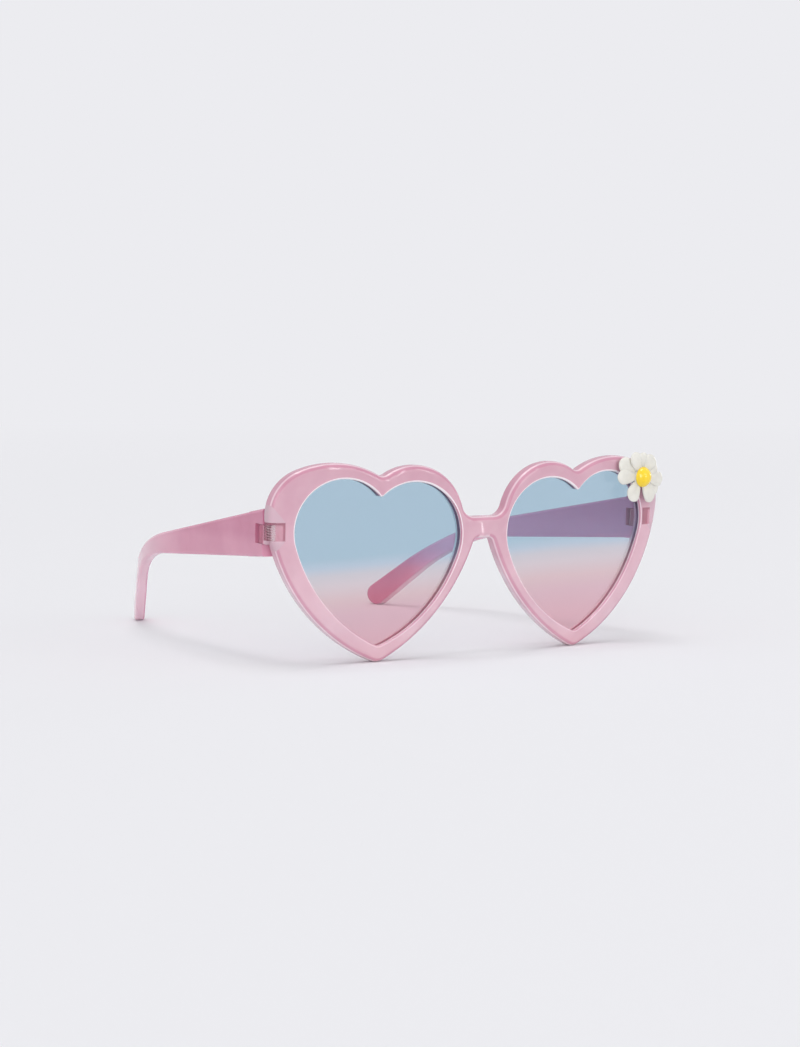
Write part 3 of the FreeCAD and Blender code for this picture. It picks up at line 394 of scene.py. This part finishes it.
def pink_temple():
    """Pink polycarbonate with pearl pigment, moulded and polished: a deep pink along the thick root, paler at
    the thin end, under a clear gloss. The outer sides hold painted light: lighter low down as a painted
    reflection of the floor, and paler towards the end as painted light shining through from behind."""
    material, tree = new_material("pearl_pink_polycarbonate")
    texture = add(tree, "ShaderNodeTexCoord").outputs
    axes = add(tree, "ShaderNodeSeparateXYZ", inputs={0: texture["Object"]}).outputs
    # Lighter low down and darker on top: a painted reflection of the floor
    level = add(tree, "ShaderNodeMath", {"operation": "DIVIDE"}, {0: axes["Z"], 1: TEMPLE_TOP * MM})
    floor_reflection_bands = add(tree, "ShaderNodeValToRGB", inputs={0: level}, stops=shares(TEMPLE_COLOURS_AND_FLOOR_REFLECTION, TEMPLE_TOP))
    cloud = add(tree, "ShaderNodeTexNoise", inputs={
        "Vector": texture["Object"], "Scale": 1 / TEMPLE_CLOUD, "Detail": 3.0})
    pearl = add(tree, "ShaderNodeValToRGB", inputs={0: cloud}, stops=TEMPLE_PEARL)
    clouded = add(tree, "ShaderNodeMix", {"data_type": "RGBA", "blend_type": "MULTIPLY"}, {
        0: 1.0, 6: floor_reflection_bands, 7: pearl})

    facing = add(tree, "ShaderNodeVectorMath", {"operation": "DOT_PRODUCT"}, {
        0: texture["Normal"], 1: (1, 0, 0)})
    side = add(tree, "ShaderNodeMath", {"operation": "SIGN"}, {0: axes["X"]})
    outwards = add(tree, "ShaderNodeMath", {"operation": "MULTIPLY"}, {0: facing.outputs["Value"], 1: side})
    outside = add(tree, "ShaderNodeMapRange", inputs={
        "Value": outwards, "From Min": OUTER_FROM, "From Max": OUTER_TO})
    inside = add(tree, "ShaderNodeMapRange", inputs={
        "Value": outwards, "From Min": INNER_FROM, "From Max": INNER_TO, "To Max": INSIDE_SHARE})

    run = add(tree, "ShaderNodeMath", {"operation": "DIVIDE"}, {0: axes["Y"], 1: TEMPLE_END * MM})
    inner = add(tree, "ShaderNodeValToRGB", inputs={0: run}, stops=shares(INSIDE_COLOURS, TEMPLE_END))
    lowering = add(tree, "ShaderNodeMapRange", inputs={
        "Value": axes["Z"], "From Min": INSIDE_PALE_FROM, "From Max": INSIDE_PALE_TO,
        "To Max": INSIDE_PALE_SHARE})
    rooted = add(tree, "ShaderNodeMapRange", inputs={
        "Value": axes["Y"], "From Min": TEMPLE_PALE_FROM, "From Max": TEMPLE_PALE_TO, "To Min": 1.0,
        "To Max": 0.0})
    low = add(tree, "ShaderNodeMath", {"operation": "MULTIPLY"}, {0: lowering, 1: rooted})
    inner_graded = add(tree, "ShaderNodeMix", {"data_type": "RGBA"}, {
        0: low, 6: inner, 7: linear(INSIDE_PALE_COLOUR)})
    lined = add(tree, "ShaderNodeMix", {"data_type": "RGBA"}, {
        0: inside, 6: clouded.outputs[2], 7: inner_graded.outputs[2]})

    # Painted light from behind on the outer sides of the thin end
    backlight_paling = add(tree, "ShaderNodeMapRange", inputs={
        "Value": axes["Y"], "From Min": TEMPLE_PALE_FROM, "From Max": TEMPLE_PALE_TO,
        "To Max": TEMPLE_BACKLIGHT_SHARE})
    pale = add(tree, "ShaderNodeMath", {"operation": "MULTIPLY"}, {0: backlight_paling, 1: outside})
    colour = add(tree, "ShaderNodeMix", {"data_type": "RGBA"}, {
        0: pale, 6: lined.outputs[2], 7: linear(TEMPLE_BACKLIGHT_COLOUR)})
    body = add(tree, "ShaderNodeBsdfPrincipled", inputs={
        "Base Color": colour.outputs[2], "Roughness": 0.12, "IOR": 1.49,
        "Subsurface Weight": 0.25, "Subsurface Radius": (1.0, 0.5, 0.6), "Subsurface Scale": 1.5 * MM})
    add(tree, "ShaderNodeOutputMaterial", inputs={"Surface": body})
    return material


# Tint of the lenses by height on the front, in mm
LENS_TOP = 50
LENS_TINT = ((8, "#ECBFC9"), (15, "#E9C4CE"), (19.4, "#E9CDD1"), (23.6, "#E4D8DD"), (26.3, "#DBD8DF"),
             (28.5, "#C5D5E4"), (31.0, "#B5D0E0"), (LENS_TOP, "#B5D0E0"))
# The line of the dip rises towards the wearer's left, as far as this place
DIP_SLANT, DIP_LEVEL_X = 0.05, 26 * MM
# Tint of the light that the lenses let through
LENS_SHADE = "#F2F2F5"


def tinted_lens():
    """Moulded polycarbonate lens with a dipped tint, blue above and pink below: clear and glossy, so that
    what is behind it shows and is lit."""
    material, tree = new_material("dip_tinted_polycarbonate")
    axes = add(tree, "ShaderNodeSeparateXYZ", inputs={0: upright_place(tree)}).outputs
    sloping = add(tree, "ShaderNodeMath", {"operation": "MINIMUM"}, {0: axes["X"], 1: DIP_LEVEL_X})
    height = add(tree, "ShaderNodeMath", {"operation": "MULTIPLY_ADD"}, {
        0: sloping, 1: -DIP_SLANT, 2: axes["Z"]})
    level = add(tree, "ShaderNodeMath", {"operation": "DIVIDE"}, {0: height, 1: LENS_TOP * MM})
    tint = add(tree, "ShaderNodeValToRGB", inputs={0: level}, stops=shares(LENS_TINT, LENS_TOP))
    glass = add(tree, "ShaderNodeBsdfPrincipled", inputs={
        "Base Color": tint, "Roughness": 0.01, "IOR": 1.49, "Transmission Weight": 1.0})
    through = add(tree, "ShaderNodeBsdfTransparent", inputs={"Color": linear(LENS_SHADE)})
    lamplight = add(tree, "ShaderNodeLightPath").outputs["Is Shadow Ray"]
    surface = add(tree, "ShaderNodeMixShader", inputs={0: lamplight, 1: glass, 2: through})
    add(tree, "ShaderNodeOutputMaterial", inputs={"Surface": surface})
    return material


# Distances from the axis of a screw between which the painted shade in its thread gives way to bright crests,
# and the foot of its bright head
THREAD_ROOT, THREAD_CREST = 0.55 * MM, 0.7 * MM
HEAD_FOOT_Z = SCREW_FOOT_Z + 10.2 * MM
# Painted shade in the thread roots; the crests and head are tinged pink as a painted reflection of the pink
# plastic
THREAD_SHADE_AND_PINK_REFLECTION = ((0.0, "#5C4C50"), (1.0, "#D9CFCF"))
STEEL_GRAIN = 0.4 * MM
STEEL_SMOOTHEST, STEEL_ROUGHEST = 0.28, 0.42


def hinge_steel():
    """Plated steel, turned and threaded: bright crests with soft glints, tinged pink as a painted reflection
    of the pink plastic, and painted shade in the thread.
    """
    material, tree = new_material("plated_steel")
    place = upright_place(tree)
    axes = add(tree, "ShaderNodeSeparateXYZ", inputs={0: place}).outputs
    across = add(tree, "ShaderNodeMath", {"operation": "ABSOLUTE"}, {0: axes["X"]})
    crest = add(tree, "ShaderNodeMapRange", inputs={
        "Value": screw_distance(tree, across, axes["Y"]), "From Min": THREAD_ROOT, "From Max": THREAD_CREST})
    on_head = add(tree, "ShaderNodeMath", {"operation": "GREATER_THAN"}, {0: axes["Z"], 1: HEAD_FOOT_Z})
    bright = add(tree, "ShaderNodeMath", {"operation": "MAXIMUM"}, {0: crest, 1: on_head})
    painted_thread_shade = add(tree, "ShaderNodeValToRGB", inputs={0: bright}, stops=THREAD_SHADE_AND_PINK_REFLECTION)
    grain = add(tree, "ShaderNodeTexNoise", inputs={"Vector": place, "Scale": 1 / STEEL_GRAIN})
    rough = add(tree, "ShaderNodeMapRange", inputs={
        "Value": grain, "To Min": STEEL_SMOOTHEST, "To Max": STEEL_ROUGHEST})
    metal = add(tree, "ShaderNodeBsdfPrincipled", inputs={
        "Base Color": painted_thread_shade, "Metallic": 1.0, "Roughness": rough})
    add(tree, "ShaderNodeOutputMaterial", inputs={"Surface": metal})
    return material


# Clouds in the milk of the petals
MILK_CLOUD = 3 * MM
MILK_COLOURS = ((0.3, "#DAD8D0"), (0.7, "#E4E2DA"))


def milky_petal():
    """Milky resin, cast and softly polished: white that lets a little light in at thin edges."""
    material, tree = new_material("milky_resin")
    place = add(tree, "ShaderNodeTexCoord").outputs["Object"]
    cloud = add(tree, "ShaderNodeTexNoise", inputs={"Vector": place, "Scale": 1 / MILK_CLOUD})
    milk = add(tree, "ShaderNodeValToRGB", inputs={0: cloud}, stops=MILK_COLOURS)
    resin = add(tree, "ShaderNodeBsdfPrincipled", inputs={
        "Base Color": milk, "Roughness": 0.25, "IOR": 1.5, "Subsurface Weight": 0.25,
        "Subsurface Radius": (1.0, 0.9, 0.8), "Subsurface Scale": 0.6 * MM})
    add(tree, "ShaderNodeOutputMaterial", inputs={"Surface": resin})
    return material


# Waves of the poured drop
WAVE_LENGTH, WAVE_HEIGHT = 2.5 * MM, 0.3 * MM


def yellow_dome():
    """Yellow resin drop: high gloss with the slight waves of a poured surface."""
    material, tree = new_material("yellow_resin")
    place = add(tree, "ShaderNodeTexCoord").outputs["Object"]
    wave = add(tree, "ShaderNodeTexNoise", inputs={"Vector": place, "Scale": 1 / WAVE_LENGTH})
    bump = add(tree, "ShaderNodeBump", inputs={"Height": wave, "Distance": WAVE_HEIGHT, "Strength": 0.6})
    resin = add(tree, "ShaderNodeBsdfPrincipled", inputs={
        "Base Color": linear("#F8D41E"), "Roughness": 0.08, "IOR": 1.5, "Normal": bump, "Coat Weight": 0.5})
    add(tree, "ShaderNodeOutputMaterial", inputs={"Surface": resin})
    return material


def clear_bond():
    """Cured clear adhesive: slightly hazy."""
    material, tree = new_material("cured_clear_adhesive")
    bond = add(tree, "ShaderNodeBsdfPrincipled", inputs={
        "Base Color": linear("#F0ECE8"), "Roughness": 0.35, "IOR": 1.45, "Transmission Weight": 0.6})
    add(tree, "ShaderNodeOutputMaterial", inputs={"Surface": bond})
    return material


def dress(material, *names):
    """Gives pieces their finish."""
    for name in names:
        slots = nodes[name].data.materials
        slots.clear()
        slots.append(material)


def new_tree(name, *sizes):
    """A Geometry Nodes tree with named sizes as inputs, and its inputs as sockets."""
    tree = bpy.data.node_groups.new(name, "GeometryNodeTree")
    tree.interface.new_socket("Geometry", in_out="OUTPUT", socket_type="NodeSocketGeometry")
    tree.interface.new_socket("Places", in_out="INPUT", socket_type="NodeSocketGeometry")
    for size in sizes:
        tree.interface.new_socket(size, in_out="INPUT", socket_type="NodeSocketFloat")
    return tree, add(tree, "NodeGroupInput").outputs


def carrier(name, places, **attributes):
    """Loose points with vectors on them, for a tree to build on."""
    mesh = bpy.data.meshes.new(name)
    mesh.from_pydata(places, [], [])
    for key, vectors in attributes.items():
        layer = mesh.attributes.new(key, "FLOAT_VECTOR", "POINT")
        layer.data.foreach_set("vector", [number for vector in vectors for number in vector])
    return mesh


def build_piece(name, tree, sizes, points):
    """Runs a tree on its points and keeps the result as a plain mesh."""
    maker = bpy.data.objects.new(name + "_maker", points)
    bpy.context.scene.collection.objects.link(maker)
    modifier = maker.modifiers.new(name, "NODES")
    modifier.node_group = tree
    for item in tree.interface.items_tree:
        if item.in_out == "INPUT" and item.name in sizes:
            modifier[item.identifier] = sizes[item.name]
    evaluated = maker.evaluated_get(bpy.context.evaluated_depsgraph_get())
    mesh = bpy.data.meshes.new_from_object(evaluated)
    bpy.data.objects.remove(maker)
    piece = bpy.data.objects.new(name, mesh)
    bpy.context.scene.collection.objects.link(piece)
    return piece


def screw_tree(material):
    """A threaded screw with a slotted head, standing on each point."""
    tree, size = new_tree("slotted_screw", *SCREW_SIZES)
    half_length = add(tree, "ShaderNodeMath", {"operation": "MULTIPLY"}, {0: size["Shank Length"], 1: 0.5})
    core = add(tree, "GeometryNodeMeshCylinder", inputs={
        "Vertices": SHANK_SIDES, "Radius": size["Core Radius"], "Depth": size["Shank Length"]})
    core_up = add(tree, "GeometryNodeTransform", inputs={
        "Geometry": core, "Translation": add(tree, "ShaderNodeCombineXYZ", inputs={"Z": half_length})})
    turns = add(tree, "ShaderNodeMath", {"operation": "DIVIDE"}, {0: size["Shank Length"], 1: size["Pitch"]})
    spiral = add(tree, "GeometryNodeCurveSpiral", inputs={
        "Resolution": SHANK_SIDES, "Rotations": turns, "Start Radius": size["Core Radius"],
        "End Radius": size["Core Radius"], "Height": size["Shank Length"]})
    flank = add(tree, "GeometryNodeCurvePrimitiveCircle", inputs={
        "Resolution": THREAD_SIDES, "Radius": size["Thread Depth"]})
    thread = add(tree, "GeometryNodeCurveToMesh", inputs={
        "Curve": spiral, "Profile Curve": flank, "Fill Caps": True})

    head = add(tree, "GeometryNodeMeshCylinder", inputs={
        "Vertices": HEAD_SIDES, "Radius": size["Head Radius"], "Depth": size["Head Height"]})
    slot_length = add(tree, "ShaderNodeMath", {"operation": "MULTIPLY"}, {
        0: size["Head Radius"], 1: SLOT_LENGTH})
    blade_height = add(tree, "ShaderNodeMath", {"operation": "MULTIPLY"}, {0: size["Slot Depth"], 1: 2.0})
    blade = add(tree, "GeometryNodeMeshCube", inputs={"Size": add(tree, "ShaderNodeCombineXYZ", inputs={
        "X": slot_length, "Y": size["Slot Width"], "Z": blade_height})})
    half_head = add(tree, "ShaderNodeMath", {"operation": "MULTIPLY"}, {0: size["Head Height"], 1: 0.5})
    blade_up = add(tree, "GeometryNodeTransform", inputs={
        "Geometry": blade, "Translation": add(tree, "ShaderNodeCombineXYZ", inputs={"Z": half_head})})
    slotted = add(tree, "GeometryNodeMeshBoolean", {"operation": "DIFFERENCE"}, {
        "Mesh 1": head, "Mesh 2": blade_up})
    head_height = add(tree, "ShaderNodeMath", {"operation": "ADD"}, {0: size["Shank Length"], 1: half_head})
    head_up = add(tree, "GeometryNodeTransform", inputs={
        "Geometry": slotted, "Translation": add(tree, "ShaderNodeCombineXYZ", inputs={"Z": head_height})})

    screw = add(tree, "GeometryNodeJoinGeometry")
    for part in (core_up, thread, head_up):
        tree.links.new(part.outputs[0], screw.inputs[0])
    placed = add(tree, "GeometryNodeInstanceOnPoints", inputs={
        "Points": size["Places"], "Instance": screw, "Rotation": (TIP_BACK, 0, 0)})
    whole = add(tree, "GeometryNodeRealizeInstances", inputs={0: placed})
    finished = add(tree, "GeometryNodeSetMaterial", inputs={"Geometry": whole, "Material": material})
    add(tree, "NodeGroupOutput", inputs={0: finished})
    return tree


def hinge_screws():
    """The screw of each hinge, which turns with its temple."""
    tree = screw_tree(hinge_steel())
    for side, sign in (("left", 1), ("right", -1)):
        foot = STAND @ Vector((sign * HINGE_X, HINGE_Y, SCREW_FOOT_Z))
        name = side + "_threaded_screw"
        screw = build_piece(name, tree, SCREW_SIZES, carrier(name, [foot]))
        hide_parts(side + "_hinge_screw")
        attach(screw, side + "_temple")


def petal_tree(material):
    """Thick cupped petals with a crease, one on each point, round a hub."""
    tree, size = new_tree("petals", *DAISY_SIZES)
    ball = add(tree, "GeometryNodeMeshUVSphere", inputs={
        "Segments": PETAL_SEGMENTS, "Rings": PETAL_RINGS, "Radius": 1.0})
    axes = add(tree, "ShaderNodeSeparateXYZ", inputs={0: add(tree, "GeometryNodeInputPosition")})
    along = add(tree, "ShaderNodeMapRange", inputs={"Value": axes.outputs["Z"], "From Min": -1.0})
    fullness = add(tree, "ShaderNodeFloatCurve", inputs={"Value": along})
    points = fullness.mapping.curves[0].points
    for _ in PETAL_FULLNESS[2:]:
        points.new(0.5, 0.5)
    for point, place in zip(points, PETAL_FULLNESS):
        point.location = place
    fullness.mapping.update()
    across = add(tree, "ShaderNodeMath", {"operation": "MULTIPLY"}, {0: axes.outputs["X"], 1: fullness})
    puff = add(tree, "ShaderNodeMath", {"operation": "MULTIPLY"}, {
        0: axes.outputs["Y"], 1: size["Half Thickness"]})
    square = add(tree, "ShaderNodeMath", {"operation": "MULTIPLY"}, {0: across, 1: across})
    cupped = add(tree, "ShaderNodeMath", {"operation": "MULTIPLY_ADD"}, {0: square, 1: size["Cup"], 2: puff})
    narrow = add(tree, "ShaderNodeMath", {"operation": "MULTIPLY"}, {0: square, 1: -CREASE_NARROWNESS})
    groove = add(tree, "ShaderNodeMath", {"operation": "EXPONENT"}, {0: narrow})
    on_top = add(tree, "ShaderNodeMath", {"operation": "MAXIMUM"}, {0: axes.outputs["Y"], 1: 0.0})
    dip = add(tree, "ShaderNodeMath", {"operation": "MULTIPLY"}, {0: groove, 1: on_top})
    depth = add(tree, "ShaderNodeMath", {"operation": "MULTIPLY"}, {0: dip, 1: size["Crease"]})
    height = add(tree, "ShaderNodeMath", {"operation": "SUBTRACT"}, {0: cupped, 1: depth})
    shaped = add(tree, "GeometryNodeSetPosition", inputs={
        "Geometry": ball,
        "Position": add(tree, "ShaderNodeCombineXYZ", inputs={"X": along, "Y": across, "Z": height})})
    turn, span = (add(tree, "GeometryNodeInputNamedAttribute", {"data_type": "FLOAT_VECTOR"}, {"Name": name})
                  for name in ("turn", "span"))
    placed = add(tree, "GeometryNodeInstanceOnPoints", inputs={
        "Points": size["Places"], "Instance": shaped, "Rotation": turn, "Scale": span})

    hub = add(tree, "GeometryNodeMeshCylinder", inputs={
        "Vertices": HUB_SIDES, "Radius": size["Hub Radius"], "Depth": size["Hub Height"]})
    hub_middle = add(tree, "ShaderNodeMath", {"operation": "MULTIPLY_ADD"}, {
        0: size["Hub Height"], 1: 0.5, 2: HUB_FOOT})
    hub_up = add(tree, "GeometryNodeTransform", inputs={
        "Geometry": hub, "Translation": add(tree, "ShaderNodeCombineXYZ", inputs={"Z": hub_middle})})
    flower = add(tree, "GeometryNodeJoinGeometry")
    for part in (placed, hub_up):
        tree.links.new(part.outputs[0], flower.inputs[0])
    whole = add(tree, "GeometryNodeRealizeInstances", inputs={0: flower})
    smooth = add(tree, "GeometryNodeSetShadeSmooth", inputs={"Geometry": whole})
    finished = add(tree, "GeometryNodeSetMaterial", inputs={"Geometry": smooth, "Material": material})
    add(tree, "NodeGroupOutput", inputs={0: finished})
    return tree


def daisy():
    """The petals, drawn flat and then set on the curved front."""
    places, turns, spans = [], [], []
    for direction, reach, breadth, tilt, height in PETALS:
        angle = math.radians(direction)
        places.append((PETAL_START * math.cos(angle), PETAL_START * math.sin(angle), height * MM))
        turns.append((0, -math.radians(tilt), angle))
        spans.append((reach * MM - PETAL_START, breadth * MM / 2, MM))
    points = carrier("petal_places", places, turn=turns, span=spans)
    petals = build_piece("petals", petal_tree(milky_petal()), DAISY_SIZES, points)
    lean = math.asin(DAISY_X / FRONT_RADIUS)
    on_front = Matrix.Translation((DAISY_X, FRONT_RADIUS * (1 - math.cos(lean)), DAISY_Z))
    facing = Matrix(((math.cos(lean), 0, math.sin(lean)), (math.sin(lean), 0, -math.cos(lean)), (0, 1, 0)))
    petals.data.transform(STAND @ on_front @ facing.to_4x4())
    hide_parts("daisy_petals")
    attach(petals, "front")


# The floor's reach, and the distances between which it merges with the background
FLOOR_HALF, FLOOR_FADE_FROM, FLOOR_FADE_TO = 20.0, 0.6, 2.5


def floor():
    """A plain pale floor that runs past the picture and merges with the background."""
    material, tree = new_material("pale_floor")
    matte = add(tree, "ShaderNodeBsdfDiffuse", inputs={"Color": linear(BACKGROUND)})
    backdrop = add(tree, "ShaderNodeEmission", inputs={"Color": linear(BACKGROUND)})
    away = add(tree, "ShaderNodeVectorMath", {"operation": "LENGTH"}, {
        0: add(tree, "ShaderNodeTexCoord").outputs["Object"]})
    far = add(tree, "ShaderNodeMapRange", inputs={
        "Value": away.outputs["Value"], "From Min": FLOOR_FADE_FROM, "From Max": FLOOR_FADE_TO})
    merged = add(tree, "ShaderNodeMixShader", inputs={0: far, 1: matte, 2: backdrop})
    add(tree, "ShaderNodeOutputMaterial", inputs={"Surface": merged})
    mesh = bpy.data.meshes.new("floor")
    corners = ((-1, -1), (1, -1), (1, 1), (-1, 1))
    mesh.from_pydata([(x * FLOOR_HALF, y * FLOOR_HALF, 0) for x, y in corners], [], [(0, 1, 2, 3)])
    mesh.materials.append(material)
    plane = bpy.data.objects.new("floor", mesh)
    bpy.context.scene.collection.objects.link(plane)


# The surround is brighter towards this side, by this share
BRIGHT_SIDE, BRIGHT_SHARE = Vector((-0.4, -0.92, 0)), 0.6
SURROUND_STRENGTH = 0.62
# Soft lamps: where each shines from, its strength and its breadth in degrees
LAMPS = {"overhead": ((-0.03, 0.03, 1), 0.85, 36), "top_glint": ((-0.1, -0.15, 1), 0.12, 8),
         "front_fill": ((-0.6, -0.77, 0.22), 0.45, 24), "side_strip": ((0.97, 0.2, 0.12), 0.16, 10)}
# Tall strip lamps in front: bearings in degrees, distance, width, height and lift in metres, and power
STRIP_BEARINGS = {"strip_one": 16.4, "strip_two": 31.0}
STRIP_DISTANCE, STRIP_WIDTH, STRIP_HEIGHT, STRIP_LIFT, STRIP_POWER = 1.8, 0.084, 1.2, 0.05, 2.1


def surround():
    """A soft surround, brighter in front, that shows as the plain background."""
    world = bpy.data.worlds.new("studio")
    bpy.context.scene.world = world
    world.use_nodes = True
    tree = world.node_tree
    tree.nodes.clear()
    path = add(tree, "ShaderNodeLightPath").outputs
    seen = path["Is Camera Ray"]
    for ray in ("Is Glossy Ray", "Is Transmission Ray"):
        seen = add(tree, "ShaderNodeMath", {"operation": "MAXIMUM"}, {0: seen, 1: path[ray]})
    shown = add(tree, "ShaderNodeBackground", inputs={"Color": linear(BACKGROUND)})
    way = add(tree, "ShaderNodeTexCoord").outputs["Generated"]
    side = add(tree, "ShaderNodeVectorMath", {"operation": "DOT_PRODUCT"}, {
        0: way, 1: BRIGHT_SIDE * BRIGHT_SHARE})
    level = add(tree, "ShaderNodeMath", {"operation": "MULTIPLY_ADD"}, {
        0: side.outputs["Value"], 1: SURROUND_STRENGTH, 2: SURROUND_STRENGTH})
    light = add(tree, "ShaderNodeBackground", inputs={"Color": (1, 1, 1, 1), "Strength": level})
    mixed = add(tree, "ShaderNodeMixShader", inputs={0: seen, 1: light, 2: shown})
    add(tree, "ShaderNodeOutputWorld", inputs={"Surface": mixed})


def lamps():
    """Soft lamps at a plain level, at which a colour renders about as it is written."""
    for name, (source, strength, breadth) in LAMPS.items():
        lamp = bpy.data.lights.new(name, "SUN")
        lamp.energy = strength
        lamp.angle = math.radians(breadth)
        sun = bpy.data.objects.new(name, lamp)
        sun.rotation_euler = (-Vector(source)).to_track_quat("-Z", "Y").to_euler()
        bpy.context.scene.collection.objects.link(sun)

    for name, bearing in STRIP_BEARINGS.items():
        lamp = bpy.data.lights.new(name, "AREA")
        lamp.shape = "RECTANGLE"
        lamp.size, lamp.size_y = STRIP_WIDTH, STRIP_HEIGHT
        lamp.energy = STRIP_POWER
        strip = bpy.data.objects.new(name, lamp)
        away = Vector((math.sin(math.radians(bearing)), -math.cos(math.radians(bearing)), 0))
        strip.location = away * STRIP_DISTANCE + Vector((0, 0, STRIP_HEIGHT / 2 + STRIP_LIFT))
        strip.rotation_euler = (-away).to_track_quat("-Z", "Y").to_euler()
        bpy.context.scene.collection.objects.link(strip)


def camera():
    """The camera at the photograph's place and angle."""
    data = bpy.data.cameras.new("camera")
    data.sensor_width = SENSOR_SIZE
    data.lens = SENSOR_SIZE * FOCAL_PIXELS / PHOTO_HEIGHT
    data.clip_start = NEAREST_SEEN
    eye = bpy.data.objects.new("camera", data)
    eye.location = CAMERA_PLACE
    flat = math.cos(CAMERA_ELEVATION)
    ahead = Vector((-flat * math.sin(CAMERA_AZIMUTH), flat * math.cos(CAMERA_AZIMUTH),
                    -math.sin(CAMERA_ELEVATION)))
    eye.rotation_euler = ahead.to_track_quat("-Z", "Y").to_euler()
    bpy.context.scene.collection.objects.link(eye)
    bpy.context.scene.camera = eye


dress(clear_front(), "front_frame")
dress(tinted_lens(), "left_lens", "right_lens")
dress(pink_temple(), "left_temple", "right_temple")
dress(yellow_dome(), "daisy_centre")
dress(clear_bond(), "daisy_adhesive")
hinge_screws()
daisy()
floor()
surround()
lamps()
camera()
bpy.context.scene.view_settings.view_transform = "Standard"
